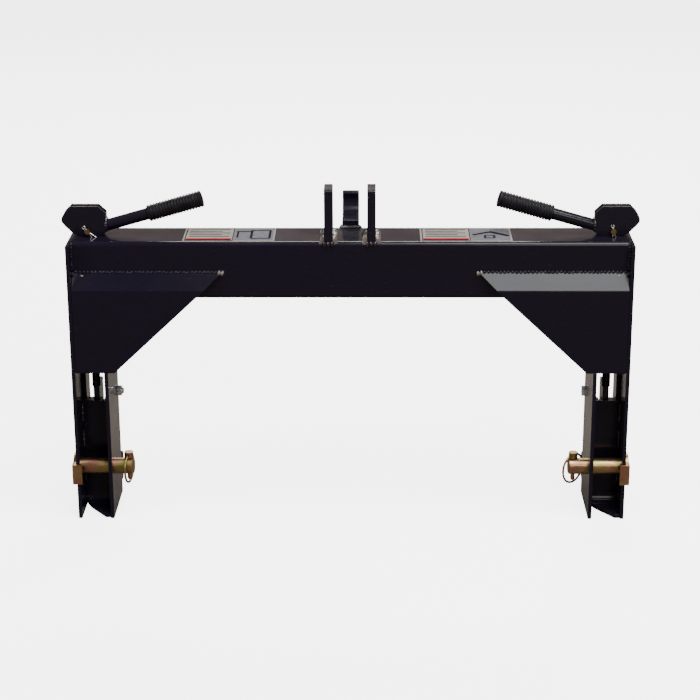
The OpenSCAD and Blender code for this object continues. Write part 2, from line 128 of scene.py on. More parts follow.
softbox("roof_light", (0.82, -1.0, 3.0), (0.82, -1.0, 0.0), (1.5, 1.9), 130, (0.97, 1.0, 0.98))
softbox("window_left", (-3.2, -2.0, 2.2), (0, 0, 0.2), (1.2, 2.0), 60, (0.94, 0.97, 1.0))
softbox("rear_strip", (0, 2.6, 2.1), (0, 0, 0.4), (2.4, 0.45), 90, (1.0, 0.95, 0.90))
softbox("window_front", (1.2, -3.6, 2.6), (0, 0, 0.3), (1.6, 1.2), 50, (1.0, 0.98, 0.95))

# The sky over the stand is a dim grey overhead and a slightly brighter warm wall at eye level.
world = bpy.data.worlds.new("studio")
world.use_nodes = True
sky_nodes = world.node_tree
sky_place = sky_nodes.nodes.new("ShaderNodeTexCoord")
sky_split = sky_nodes.nodes.new("ShaderNodeSeparateXYZ")
sky_fade = sky_nodes.nodes.new("ShaderNodeMapRange")
sky_tone = sky_nodes.nodes.new("ShaderNodeMix")
sky_tone.data_type = "RGBA"
sky_nodes.links.new(sky_place.outputs["Generated"], sky_split.inputs[0])
sky_nodes.links.new(sky_split.outputs["Z"], sky_fade.inputs["Value"])
sky_fade.inputs["From Min"].default_value = 0.34
sky_fade.inputs["From Max"].default_value = 0.95
sky_nodes.links.new(sky_fade.outputs["Result"], sky_tone.inputs[0])
sky_tone.inputs[6].default_value = (0.36, 0.29, 0.25, 1)
sky_tone.inputs[7].default_value = (0.20, 0.20, 0.25, 1)
sky_nodes.links.new(sky_tone.outputs[2], sky_nodes.nodes["Background"].inputs["Color"])
sky_nodes.nodes["Background"].inputs["Strength"].default_value = 1.0
bpy.context.scene.world = world

# ---- Welded frame -----------------------------------------------------------------------------
# Square tube and flat plate, sawn, drilled, bent and welded, then powder coated gloss black all
# over. Every cut edge is broken a little before coating, so edges catch a thin line of light.
BODY_OF = {node: body for body, nodes in frame["record"]["behaviour"]["bodies"].items() for node in nodes}


def shader_group(name, inputs, outputs):
    """Starts a shader node group with named sockets; returns it with its end nodes."""
    group = bpy.data.node_groups.new(name, "ShaderNodeTree")
    for label, kind, value in inputs:
        socket = group.interface.new_socket(label, in_out="INPUT", socket_type=kind)
        socket.default_value = value
    for label, kind in outputs:
        group.interface.new_socket(label, in_out="OUTPUT", socket_type=kind)
    return group, group.nodes.new("NodeGroupInput"), group.nodes.new("NodeGroupOutput")


def math_node(group, operation, first, second, clamp=False):
    """A math node fed by sockets or numbers; returns its output."""
    node = group.nodes.new("ShaderNodeMath")
    node.operation = operation
    node.use_clamp = clamp
    for socket, value in zip(node.inputs, (first, second)):
        if isinstance(value, (int, float)):
            socket.default_value = value
        else:
            group.links.new(value, socket)
    return node.outputs[0]


def noise_node(group, scale, detail, stretch=(1, 1, 1), shift=(0, 0, 0)):
    """A noise on object coordinates, stretched and shifted; returns its value output."""
    coordinates = group.nodes.new("ShaderNodeTexCoord")
    mapping = group.nodes.new("ShaderNodeMapping")
    mapping.inputs["Scale"].default_value = stretch
    mapping.inputs["Location"].default_value = shift
    noise = group.nodes.new("ShaderNodeTexNoise")
    noise.inputs["Scale"].default_value = scale
    noise.inputs["Detail"].default_value = detail
    group.links.new(coordinates.outputs["Object"], mapping.inputs["Vector"])
    group.links.new(mapping.outputs["Vector"], noise.inputs["Vector"])
    return noise.outputs[0]


def mix_node(group, factor, first, second):
    """Mixes two colours given as sockets or values; returns the colour output."""
    node = group.nodes.new("ShaderNodeMix")
    node.data_type = "RGBA"
    for socket, value in ((node.inputs[0], factor), (node.inputs[6], first), (node.inputs[7], second)):
        if isinstance(value, (int, float, tuple)):
            socket.default_value = value
        else:
            group.links.new(value, socket)
    return node.outputs[2]


def range_node(group, value, low, high, out_low, out_high):
    """Maps a value from one range to another, clamped."""
    node = group.nodes.new("ShaderNodeMapRange")
    group.links.new(value, node.inputs["Value"])
    for socket, number in zip(node.inputs[1:5], (low, high, out_low, out_high)):
        socket.default_value = number
    return node.outputs["Result"]


def bump_node(group, height, distance, strength, normal=None):
    """A bump from a height; distance is in metres, strength is a number or a socket."""
    node = group.nodes.new("ShaderNodeBump")
    node.inputs["Distance"].default_value = distance
    if isinstance(strength, (int, float)):
        node.inputs["Strength"].default_value = strength
    else:
        group.links.new(strength, node.inputs["Strength"])
    group.links.new(height, node.inputs["Height"])
    if normal is not None:
        group.links.new(normal, node.inputs["Normal"])
    return node.outputs["Normal"]


# Powder coat: fine orange peel, faint handling scuffs, and a little dust where a face looks up.
coat_group, coat_in, coat_out = shader_group(
    "powder_coat",
    [("Colour", "NodeSocketColor", (0.01, 0.01, 0.012, 1)),
     ("Dust Colour", "NodeSocketColor", (0.2, 0.18, 0.15, 1)),
     ("Dust", "NodeSocketFloat", 0.1),
     ("Scuff", "NodeSocketFloat", 0.3),
     ("Peel", "NodeSocketFloat", 0.2),
     ("Gloss Low", "NodeSocketFloat", 0.12)],
    [("Colour", "NodeSocketColor"), ("Roughness", "NodeSocketFloat"), ("Normal", "NodeSocketVector")])
peel = noise_node(coat_group, 330, 2)
ripple = noise_node(coat_group, 42, 2)
cloud = noise_node(coat_group, 11, 4)
tint = noise_node(coat_group, 5, 2, shift=(3, 1, 2))
scratch = noise_node(coat_group, 60, 3, stretch=(1, 9, 9))
scratch_mask = range_node(coat_group, scratch, 0.66, 0.74, 0, 1)
scratch_mask = math_node(coat_group, "MULTIPLY", scratch_mask, coat_in.outputs["Scuff"])
facing = coat_group.nodes.new("ShaderNodeNewGeometry")
upward = coat_group.nodes.new("ShaderNodeSeparateXYZ")
coat_group.links.new(facing.outputs["Normal"], upward.inputs[0])
dust_mask = range_node(coat_group, upward.outputs["Z"], 0.3, 1.0, 0, 1)
dust_mask = math_node(coat_group, "MULTIPLY", dust_mask, range_node(coat_group, cloud, 0.4, 0.7, 0.1, 1))
dust_mask = math_node(coat_group, "MULTIPLY", dust_mask, coat_in.outputs["Dust"])
deep = mix_node(coat_group, range_node(coat_group, tint, 0.35, 0.65, 0, 0.5), coat_in.outputs["Colour"],
                (0.0080, 0.0050, 0.0170, 1))
scuffed = mix_node(coat_group, math_node(coat_group, "MULTIPLY", scratch_mask, 0.25), deep,
                   (0.09, 0.085, 0.09, 1))
coat_group.links.new(mix_node(coat_group, dust_mask, scuffed, coat_in.outputs["Dust Colour"]),
                     coat_out.inputs["Colour"])
rough = math_node(coat_group, "ADD", range_node(coat_group, cloud, 0.3, 0.7, 0, 0.07),
                  coat_in.outputs["Gloss Low"])
rough = math_node(coat_group, "ADD", rough, math_node(coat_group, "MULTIPLY", scratch_mask, 0.25))
rough = math_node(coat_group, "ADD", rough, math_node(coat_group, "MULTIPLY", dust_mask, 0.5), True)
coat_group.links.new(rough, coat_out.inputs["Roughness"])
soft_wave = bump_node(coat_group, ripple, 0.0009, 0.25)
coat_group.links.new(bump_node(coat_group, peel, 0.00022, coat_in.outputs["Peel"], soft_wave),
                     coat_out.inputs["Normal"])


def coated(name, colour, specular=0.17, **settings):
    """A powder coat material with its own colour, gloss and group settings."""
    material, shader = principled(name, Specular_IOR_Level=specular)
    node = material.node_tree.nodes.new("ShaderNodeGroup")
    node.node_tree = coat_group
    node.inputs["Colour"].default_value = colour
    for label, value in settings.items():
        node.inputs[label.replace("_", " ")].default_value = value
    for label, socket in (("Colour", "Base Color"), ("Roughness", "Roughness"), ("Normal", "Normal")):
        material.node_tree.links.new(node.outputs[label], shader.inputs[socket])
    return material


gloss_black = coated("gloss_black_coat", (0.0075, 0.0055, 0.0120, 1), Dust=0.04, Scuff=0.35)
plate_black = coated("plate_black_coat", (0.0085, 0.0065, 0.0125, 1), Dust=0.07, Scuff=0.5, Peel=0.3)


def ordered(mesh):
    """Merges a CAD mesh's loose triangles and turns its flat stretches into single faces."""
    net = bmesh.new()
    net.from_mesh(mesh)
    bmesh.ops.remove_doubles(net, verts=net.verts, dist=2e-6)
    bmesh.ops.dissolve_limit(net, angle_limit=radians(0.6), verts=net.verts, edges=net.edges)
    net.to_mesh(mesh)
    net.free()


def settled(piece, sharp_angle=35):
    """Applies a piece's modifiers and returns it as a plain object with smooth shading.

    No sharp angle leaves the shading the modifiers gave.
    """
    graph = bpy.context.evaluated_depsgraph_get()
    graph.update()
    mesh = bpy.data.meshes.new_from_object(piece.evaluated_get(graph), depsgraph=graph)
    mesh.name = piece.name
    piece.modifiers.clear()
    piece.data = mesh
    if sharp_angle is not None:
        mesh.shade_smooth()
        mesh.set_sharp_from_angle(angle=radians(sharp_angle))
    return piece


def edged(node, material, width=0.0007, segments=2):
    """A CAD plate with its edges broken, standing for the plain node on the same body."""
    mesh = frame["nodes"][node].data.copy()
    mesh.materials.clear()
    mesh.materials.append(material)
    ordered(mesh)
    mesh.shade_smooth()
    piece = object_from(node + "_finished", mesh)
    bevel = piece.modifiers.new("broken_edges", "BEVEL")
    bevel.width = width
    bevel.segments = segments
    bevel.limit_method = "ANGLE"
    bevel.angle_limit = radians(28)
    bevel.use_clamp_overlap = True
    flats = piece.modifiers.new("flat_faces", "WEIGHTED_NORMAL")
    flats.mode = "FACE_AREA"
    flats.weight = 100
    piece = settled(piece, None)
    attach(piece, BODY_OF[node])
    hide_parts(node)
    return piece


SIDES = ("left", "right")
edged("cross_beam", gloss_black, 0.0004)
edged("top_hook", plate_black, 0.0012, 3)
for side in SIDES:
    for plate in ("outer_side_plate", "inner_side_plate", "web_plate"):
        edged(f"{plate}_{side}", gloss_black, 0.0006)
    edged(f"gusset_plate_{side}", gloss_black, 0.0009, 3)
    edged(f"link_lug_{side}", plate_black, 0.0010, 3)
    edged(f"lower_hook_outer_{side}", plate_black, 0.0011, 3)
    edged(f"lower_hook_inner_{side}", plate_black, 0.0011, 3)
    edged(f"spring_seat_{side}", plate_black, 0.0005)
    edged(f"rod_guard_{side}", plate_black, 0.0006)

# ---- Weld beads -------------------------------------------------------------------------------
# Hand-laid fillets in overlapping scallops, coated with the frame. One Geometry Nodes tree sweeps
# a circle along each joint's line and swells it once for every scallop.
weld_black = coated("weld_black_coat", (0.012, 0.010, 0.014, 1), specular=0.6, Dust=0.02, Scuff=0.1,
                    Peel=0.15, Gloss_Low=0.07)
# The lug-foot and gusset-end beads get a lighter tan base colour, lifted further by heavy dust and scuff settings:
# this is painted highlight standing in for the glints their gloss black catches.
weld_painted_highlight = coated("weld_painted_highlight_coat", (0.17, 0.14, 0.12, 1), specular=1.0, Dust=0.25, Scuff=0.6,
                    Peel=0.6, Gloss_Low=0.06)


def geometry_tree(name, inputs):
    """Starts a geometry tree with a Geometry socket each way and the named inputs."""
    tree = bpy.data.node_groups.new(name, "GeometryNodeTree")
    tree.interface.new_socket("Geometry", in_out="INPUT", socket_type="NodeSocketGeometry")
    for label, kind in inputs:
        tree.interface.new_socket(label, in_out="INPUT", socket_type=kind)
    tree.interface.new_socket("Geometry", in_out="OUTPUT", socket_type="NodeSocketGeometry")
    return tree, tree.nodes.new("NodeGroupInput"), tree.nodes.new("NodeGroupOutput")


def chain(tree, *nodes):
    """Links each node's first output to the next node's first input."""
    for first, second in zip(nodes, nodes[1:]):
        tree.links.new(first.outputs[0], second.inputs[0])


def run_tree(piece, tree, values, sharp_angle=50):
    """Runs a geometry tree on a piece with its inputs set by name, and settles the result."""
    modifier = piece.modifiers.new(tree.name, "NODES")
    modifier.node_group = tree
    for item in tree.interface.items_tree:
        if item.item_type == "SOCKET" and item.in_out == "INPUT" and item.name in values:
            modifier[item.identifier] = values[item.name]
    return settled(piece, sharp_angle)


def path_object(name, stretches):
    """A mesh of plain edges along one or more stretches of points, for a tree to follow."""
    points, edges = [], []
    for stretch in stretches:
        first = len(points)
        points.extend(stretch)
        edges.extend((i, i + 1) for i in range(first, len(points) - 1))
    mesh = bpy.data.meshes.new(name)
    mesh.from_pydata([tuple(p) for p in points], edges, [])
    return object_from(name, mesh)


bead_tree, bead_in, bead_out = geometry_tree(
    "weld_bead", [("Reach", "NodeSocketFloat"), ("Scallop", "NodeSocketFloat"),
                  ("Ripple", "NodeSocketFloat"), ("Wobble", "NodeSocketFloat"),
                  ("Finish", "NodeSocketMaterial")])
to_curve = bead_tree.nodes.new("GeometryNodeMeshToCurve")
resample = bead_tree.nodes.new("GeometryNodeResampleCurve")
resample.mode = "LENGTH"
resample.inputs["Length"].default_value = 0.0007
swell = bead_tree.nodes.new("GeometryNodeSetCurveRadius")
sweep = bead_tree.nodes.new("GeometryNodeCurveToMesh")
sweep.inputs["Fill Caps"].default_value = True
circle = bead_tree.nodes.new("GeometryNodeCurvePrimitiveCircle")
circle.inputs["Resolution"].default_value = 14
jitter = bead_tree.nodes.new("GeometryNodeSetPosition")
lumps = bead_tree.nodes.new("ShaderNodeTexNoise")
lumps.inputs["Scale"].default_value = 150
centred = bead_tree.nodes.new("ShaderNodeVectorMath")
centred.operation = "SUBTRACT"
centred.inputs[1].default_value = (0.5, 0.5, 0.5)
scaled = bead_tree.nodes.new("ShaderNodeVectorMath")
scaled.operation = "SCALE"
bead_realise = bead_tree.nodes.new("GeometryNodeRealizeInstances")
bead_finish = bead_tree.nodes.new("GeometryNodeSetMaterial")
along_path = bead_tree.nodes.new("GeometryNodeSplineParameter")
steps = math_node(bead_tree, "DIVIDE", along_path.outputs["Length"], bead_in.outputs["Scallop"])
within = math_node(bead_tree, "FRACT", steps, 0)
arch = math_node(bead_tree, "SINE", math_node(bead_tree, "MULTIPLY", math_node(
    bead_tree, "POWER", within, 0.6), pi), 0)
dip = math_node(bead_tree, "MULTIPLY", math_node(bead_tree, "SUBTRACT", 1, arch),
                bead_in.outputs["Ripple"])
bead_tree.links.new(math_node(bead_tree, "SUBTRACT", 1, dip), swell.inputs["Radius"])
bead_tree.links.new(bead_in.outputs["Reach"], circle.inputs["Radius"])
bead_tree.links.new(circle.outputs[0], sweep.inputs["Profile Curve"])
bead_tree.links.new(swell.outputs[0], sweep.inputs[0])
if "Scale" in sweep.inputs:
    read_radius = bead_tree.nodes.new("GeometryNodeInputRadius")
    bead_tree.links.new(read_radius.outputs[0], sweep.inputs["Scale"])
bead_tree.links.new(lumps.outputs["Color"], centred.inputs[0])
bead_tree.links.new(centred.outputs[0], scaled.inputs[0])
bead_tree.links.new(bead_in.outputs["Wobble"], scaled.inputs["Scale"])
bead_tree.links.new(scaled.outputs[0], jitter.inputs["Offset"])
chain(bead_tree, bead_in, to_curve, resample, swell, sweep, jitter, bead_realise, bead_finish, bead_out)
bead_tree.links.new(bead_in.outputs["Finish"], bead_finish.inputs["Material"])


def weld(name, stretches, body="frame", reach=0.0036, scallop=0.0034, ripple=0.28, finish=weld_black):
    """Lays weld beads along the given stretches and fixes them to a body."""
    piece = path_object(name, stretches)
    run_tree(piece, bead_tree, {"Reach": reach, "Scallop": scallop, "Ripple": ripple,
                                "Wobble": reach * 0.75, "Finish": finish}, 60)
    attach(piece, body)
    return piece


beam_low, beam_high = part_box("cross_beam")
BEAM_FRONT, BEAM_BACK, BEAM_TOP = beam_low[1], beam_high[1], beam_high[2]
hook_low, hook_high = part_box("top_hook")
foot_z = BEAM_TOP + 0.0004
weld("weld_top_hook", [
    [(x, BEAM_BACK, hook_low[2] + 0.002), (x, BEAM_BACK, BEAM_TOP - 0.004),
     (x, BEAM_BACK - 0.003, BEAM_TOP - 0.0006), (x, hook_low[1] + 0.0005, foot_z)]
    for x in (hook_low[0], hook_high[0])] + [
    [(hook_low[0] - 0.002, hook_low[1], foot_z), (hook_high[0] + 0.002, hook_low[1], foot_z)]],
    reach=0.0040)
for side, hand in zip(SIDES, (-1, 1)):
    lug_low, lug_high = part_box(f"link_lug_{side}")
    # The lug-foot beads use the lighter weld material, whose tan colour is painted highlight.
    weld(f"weld_lug_{side}", [
        [(x, lug_low[1] + 0.001, foot_z), (x, lug_high[1] + 0.002, foot_z)]
        for x in (lug_low[0], lug_high[0])],
        reach=0.0070, scallop=0.0056, ripple=0.55, finish=weld_painted_highlight)
    weld(f"weld_lug_front_{side}", [
        [(lug_low[0] - 0.002, lug_low[1] + 0.0012, BEAM_TOP - 0.0022),
         (lug_high[0] + 0.002, lug_low[1] + 0.0012, BEAM_TOP - 0.0022)]],
        reach=0.0040, scallop=0.0050, ripple=0.5)
    gusset_low, gusset_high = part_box(f"gusset_plate_{side}")
    inner_x = gusset_high[0] if hand < 0 else gusset_low[0]
    weld(f"weld_gusset_{side}", [
        [(inner_x + hand * 0.002, BEAM_FRONT + 0.0006, gusset_high[2] - 0.0016),
         (hand * 0.358, BEAM_FRONT + 0.0006, gusset_high[2] - 0.0016)]],
        reach=0.0030, scallop=0.0052, ripple=0.5, finish=plate_black)
    # The gusset-end beads use the lighter weld material, whose tan colour is painted highlight.
    weld(f"weld_gusset_ends_{side}", [
        [(hand * 0.3475, BEAM_FRONT - 0.003, gusset_high[2] - 0.030),
         (hand * 0.3475, BEAM_FRONT - 0.001, gusset_high[2] - 0.004)],
        [(inner_x - hand * 0.001, BEAM_FRONT - 0.0008, gusset_high[2] - 0.0030),
         (inner_x + hand * 0.006, BEAM_FRONT - 0.0008, gusset_high[2] - 0.0016)]],
        reach=0.0038, scallop=0.0046, ripple=0.6, finish=weld_painted_highlight)
    plate_low, plate_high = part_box(f"outer_side_plate_{side}")
    corner_x = plate_high[0] if hand < 0 else plate_low[0]
    weld(f"weld_beam_end_{side}", [
        [(corner_x, BEAM_FRONT, gusset_high[2] + 0.002), (corner_x, BEAM_FRONT, BEAM_TOP - 0.007),
         (corner_x, BEAM_FRONT + 0.003, BEAM_TOP - 0.001), (corner_x, BEAM_FRONT + 0.008, BEAM_TOP - 0.0012)],
        [(corner_x - hand * 0.001, BEAM_FRONT - 0.001, gusset_high[2] - 0.018),
         (corner_x - hand * 0.001, BEAM_FRONT - 0.004, gusset_high[2] - 0.003)]],
        reach=0.0024, scallop=0.0040, ripple=0.4, finish=plate_black)
    inner_low, inner_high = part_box(f"inner_side_plate_{side}")
    centre_x = inner_high[0] if hand < 0 else inner_low[0]
    weld(f"weld_leg_top_{side}", [
        [(centre_x, inner_low[1] + 0.026, inner_high[2] - 0.0002),
         (centre_x, inner_high[1] - 0.002, inner_high[2] - 0.0002)]], reach=0.0034)
    weld(f"weld_lower_hooks_{side}", [
        [(x, inner_high[1], 0.008), (x, inner_high[1], 0.046)] for x in
        (centre_x + hand * 0.005, corner_x)] + [
        [(x, inner_high[1], 0.062), (x, inner_high[1], 0.096)] for x in
        (centre_x + hand * 0.005, corner_x)], reach=0.0034)
    web_low, web_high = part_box(f"web_plate_{side}")
    web_face = web_high[1] - 0.005
    weld(f"weld_web_{side}", [
        [(x, web_face, z), (x, web_face, z + 0.026)] for x in (web_low[0], web_high[0])
        for z in (0.036, 0.084, 0.122)], reach=0.0028)
    seat_low, seat_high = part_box(f"spring_seat_{side}")
    seat_mid = (Vector(seat_low) + Vector(seat_high)) / 2
    seat_r = (seat_high[0] - seat_low[0]) / 2
    weld(f"weld_spring_seat_{side}", [
        [seat_mid + Vector((seat_r * cos(a), seat_r * sin(a), 0.0018))
         for a in (i * 2 * pi / 48 for i in range(49))]], reach=0.0024)

# ---- Fasteners and collars --------------------------------------------------------------------
# Bright zinc bolts and nuts, turned and rolled from bar. Zinc shows a fine crystal grain and
# goes slightly blue-grey where it was handled.
plate_group, plate_in, plate_out = shader_group(
    "zinc_plate",
    [("Colour", "NodeSocketColor", (0.7, 0.7, 0.7, 1)), ("Tint", "NodeSocketColor", (0.6, 0.6, 0.6, 1)),
     ("Second Tint", "NodeSocketColor", (0.6, 0.6, 0.6, 1)), ("Grain", "NodeSocketFloat", 0.2),
     ("Roughness Low", "NodeSocketFloat", 0.22)],
    [("Colour", "NodeSocketColor"), ("Roughness", "NodeSocketFloat"), ("Normal", "NodeSocketVector")])
film = noise_node(plate_group, 55, 3)
second_film = noise_node(plate_group, 80, 3, shift=(1, 4, 2))
crystal = noise_node(plate_group, 1600, 2)
streak = noise_node(plate_group, 300, 2, stretch=(0.25, 1, 1))
plated = mix_node(plate_group, range_node(plate_group, film, 0.42, 0.62, 0, 1),
                  plate_in.outputs["Colour"], plate_in.outputs["Tint"])
plated = mix_node(plate_group, range_node(plate_group, second_film, 0.5, 0.68, 0, 0.8), plated,
                  plate_in.outputs["Second Tint"])
plate_group.links.new(plated, plate_out.inputs["Colour"])
plate_group.links.new(
    math_node(plate_group, "ADD", range_node(plate_group, streak, 0.3, 0.7, 0, 0.16),
              plate_in.outputs["Roughness Low"]), plate_out.inputs["Roughness"])
plate_group.links.new(bump_node(plate_group, crystal, 0.00006, plate_in.outputs["Grain"]),
                      plate_out.inputs["Normal"])


def plated_metal(name, colour, tint, second, grain=0.25, low=0.22):
    """A zinc-plated steel material with its own colours."""
    material, shader = principled(name, Metallic=1.0)
    node = material.node_tree.nodes.new("ShaderNodeGroup")
    node.node_tree = plate_group
    for label, value in (("Colour", colour), ("Tint", tint), ("Second Tint", second),
                         ("Grain", grain), ("Roughness Low", low)):
        node.inputs[label].default_value = value
    for label, socket in (("Colour", "Base Color"), ("Roughness", "Roughness"), ("Normal", "Normal")):
        material.node_tree.links.new(node.outputs[label], shader.inputs[socket])
    return material


bright_zinc = plated_metal("bright_zinc", (0.72, 0.72, 0.70, 1), (0.62, 0.64, 0.67, 1), (0.78, 0.76, 0.70, 1))
yellow_zinc = plated_metal("yellow_zinc", (0.33, 0.225, 0.10, 1), (0.34, 0.15, 0.115, 1),
                           (0.19, 0.20, 0.05, 1), low=0.27)
latch_black = coated("latch_black_coat", (0.012, 0.011, 0.014, 1), Dust=0.05, Scuff=1.0, Gloss_Low=0.2)

thread_tree, thread_in, thread_out = geometry_tree(
    "rolled_thread", [("Radius", "NodeSocketFloat"), ("Length", "NodeSocketFloat"),
                      ("Turns", "NodeSocketFloat"), ("Ridge", "NodeSocketFloat"),
                      ("Per Turn", "NodeSocketInt"), ("Finish", "NodeSocketMaterial")])
helix = thread_tree.nodes.new("GeometryNodeCurveSpiral")
ridge = thread_tree.nodes.new("GeometryNodeCurvePrimitiveCircle")
ridge.inputs["Resolution"].default_value = 10
wind = thread_tree.nodes.new("GeometryNodeCurveToMesh")
wind.inputs["Fill Caps"].default_value = True
thread_realise = thread_tree.nodes.new("GeometryNodeRealizeInstances")
thread_finish = thread_tree.nodes.new("GeometryNodeSetMaterial")
for label in ("Start Radius", "End Radius"):
    thread_tree.links.new(thread_in.outputs["Radius"], helix.inputs[label])
thread_tree.links.new(thread_in.outputs["Length"], helix.inputs["Height"])
thread_tree.links.new(thread_in.outputs["Turns"], helix.inputs["Rotations"])
thread_tree.links.new(thread_in.outputs["Per Turn"], helix.inputs["Resolution"])
thread_tree.links.new(thread_in.outputs["Ridge"], ridge.inputs["Radius"])
thread_tree.links.new(ridge.outputs[0], wind.inputs["Profile Curve"])
thread_tree.links.new(thread_in.outputs["Finish"], thread_finish.inputs["Material"])
chain(thread_tree, helix, wind, thread_realise, thread_finish, thread_out)


def winding(name, start, axis, length, radius, turns, wire, material, body, per_turn=28):
    """A helix of round wire from a start point along an axis."""
    piece = object_from(name, bpy.data.meshes.new(name))
    run_tree(piece, thread_tree, {"Radius": radius, "Length": length, "Turns": turns, "Ridge": wire / 2,
                                  "Per Turn": per_turn, "Finish": material}, 60)
    turned_to_axis = Vector((0, 0, 1)).rotation_difference(Vector(axis)).to_matrix().to_4x4()
    place = Matrix.Translation(start) @ turned_to_axis
    piece.data.transform(place)
    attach(piece, body)
    return piece


for side, hand in zip(SIDES, (-1, 1)):
    edged(f"tether_bolt_{side}", bright_zinc, 0.0005)
    edged(f"tether_nut_{side}", bright_zinc, 0.0006)
    bolt_low, bolt_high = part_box(f"tether_bolt_{side}")
    bolt_mid = (Vector(bolt_low) + Vector(bolt_high)) / 2
    tail_x = bolt_high[0] if hand < 0 else bolt_high[0]
    winding(f"tether_thread_{side}", (tail_x - 0.0028, bolt_mid[1], bolt_mid[2]), (1, 0, 0), 0.0024,
            0.0039, 2, 0.0007, bright_zinc, "frame")

# ---- Latch ------------------------------------------------------------------------------------
# A pull rod with a flattened eye hangs from the lever and carries the sliding latch bar. A
# spring on the rod pushes a washer and nut down, so the latch drops shut by itself.
spring_steel = plated_metal("oiled_spring_steel", (0.24, 0.24, 0.26, 1), (0.17, 0.17, 0.19, 1),
                            (0.28, 0.25, 0.21, 1), low=0.28)
SPRING_WIRE = 0.003
for side in SIDES:
    latch = f"latch_{side}"
    edged(f"latch_bar_{side}", latch_black, 0.0009, 3)
    edged(f"latch_rod_{side}", latch_black, 0.0005)
    edged(f"rod_collar_{side}", bright_zinc, 0.0005)
    edged(f"rod_nut_{side}", bright_zinc, 0.0007)
    nut_low, nut_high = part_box(f"rod_nut_{side}")
    rod_mid = (Vector(nut_low) + Vector(nut_high)) / 2
    winding(f"rod_thread_{side}", (rod_mid[0], rod_mid[1], nut_low[2] - 0.026), (0, 0, 1), 0.026,
            0.0053, 15, 0.0009, latch_black, latch)
    coil_low, coil_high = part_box(f"latch_spring_{side}")
    coil_r = (coil_high[0] - coil_low[0]) / 2 - SPRING_WIRE / 2
    tall = coil_high[2] - coil_low[2] - SPRING_WIRE
    base = (rod_mid[0], rod_mid[1], coil_low[2] + SPRING_WIRE / 2)
    coil = winding(f"latch_coil_{side}", base, (0, 0, 1), tall, coil_r, 7, SPRING_WIRE, spring_steel,
                   "frame", 36)
    ends = [
        winding(f"coil_end_{side}_{label}", (base[0], base[1], z), (0, 0, 1), 0.0004, coil_r, 0.94,
                SPRING_WIRE, spring_steel, "frame", 36)
        for label, z in (("low", base[2]), ("high", base[2] + tall - 0.0004))]
    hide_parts(f"latch_spring_{side}")
    for wound in [coil] + ends:
        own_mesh(wound)

# ---- Levers -----------------------------------------------------------------------------------
# Two flame-cut cam plates straddle the rod's eye on a clevis pin. A round handle is welded to
# their inner edge, and a ribbed rubber sleeve with an open end is pushed on it.
cam_black = coated("cam_black_coat", (0.0095, 0.008, 0.0125, 1), Dust=0.04, Scuff=0.6, Peel=0.25)
rubber, rubber_shader = principled("grip_rubber", Specular_IOR_Level=0.2)
rubber_net = rubber.node_tree
rubber_grain = noise_node(rubber_net, 900, 3)
rubber_cloud = noise_node(rubber_net, 70, 3)
rubber_net.links.new(mix_node(rubber_net, range_node(rubber_net, rubber_cloud, 0.35, 0.7, 0, 1),
                              (0.0060, 0.0050, 0.0080, 1), (0.0115, 0.0100, 0.0135, 1)),
                     rubber_shader.inputs["Base Color"])
rubber_net.links.new(range_node(rubber_net, rubber_cloud, 0.3, 0.7, 0.38, 0.55),
                     rubber_shader.inputs["Roughness"])
rubber_net.links.new(bump_node(rubber_net, rubber_grain, 0.00012, 0.4), rubber_shader.inputs["Normal"])

rib_tree, rib_in, rib_out = geometry_tree(
    "grip_ribs", [("Count", "NodeSocketInt"), ("Pitch", "NodeSocketFloat"), ("Start", "NodeSocketFloat"),
                  ("Ring Radius", "NodeSocketFloat"), ("Rib Radius", "NodeSocketFloat"),
                  ("Finish", "NodeSocketMaterial")])
rib_row = rib_tree.nodes.new("GeometryNodeMeshLine")
row_offset = rib_tree.nodes.new("ShaderNodeCombineXYZ")
row_start = rib_tree.nodes.new("ShaderNodeCombineXYZ")
rib_ring = rib_tree.nodes.new("GeometryNodeCurvePrimitiveCircle")
rib_ring.inputs["Resolution"].default_value = 56
rib_round = rib_tree.nodes.new("GeometryNodeCurvePrimitiveCircle")
rib_round.inputs["Resolution"].default_value = 12
rib_sweep = rib_tree.nodes.new("GeometryNodeCurveToMesh")
rib_place = rib_tree.nodes.new("GeometryNodeInstanceOnPoints")
rib_join = rib_tree.nodes.new("GeometryNodeJoinGeometry")
rib_realise = rib_tree.nodes.new("GeometryNodeRealizeInstances")
rib_finish = rib_tree.nodes.new("GeometryNodeSetMaterial")
rib_tree.links.new(rib_in.outputs["Pitch"], row_offset.inputs["Z"])
rib_tree.links.new(rib_in.outputs["Start"], row_start.inputs["Z"])
rib_tree.links.new(rib_in.outputs["Count"], rib_row.inputs["Count"])
rib_tree.links.new(row_start.outputs[0], rib_row.inputs["Start Location"])
rib_tree.links.new(row_offset.outputs[0], rib_row.inputs["Offset"])
rib_tree.links.new(rib_in.outputs["Ring Radius"], rib_ring.inputs["Radius"])
rib_tree.links.new(rib_in.outputs["Rib Radius"], rib_round.inputs["Radius"])
rib_tree.links.new(rib_ring.outputs[0], rib_sweep.inputs[0])
rib_tree.links.new(rib_round.outputs[0], rib_sweep.inputs["Profile Curve"])
rib_tree.links.new(rib_row.outputs[0], rib_place.inputs["Points"])
rib_tree.links.new(rib_sweep.outputs[0], rib_place.inputs["Instance"])
rib_tree.links.new(rib_place.outputs[0], rib_join.inputs[0])
rib_tree.links.new(rib_in.outputs["Geometry"], rib_join.inputs[0])
rib_tree.links.new(rib_in.outputs["Finish"], rib_finish.inputs["Material"])
chain(rib_tree, rib_join, rib_realise, rib_finish, rib_out)


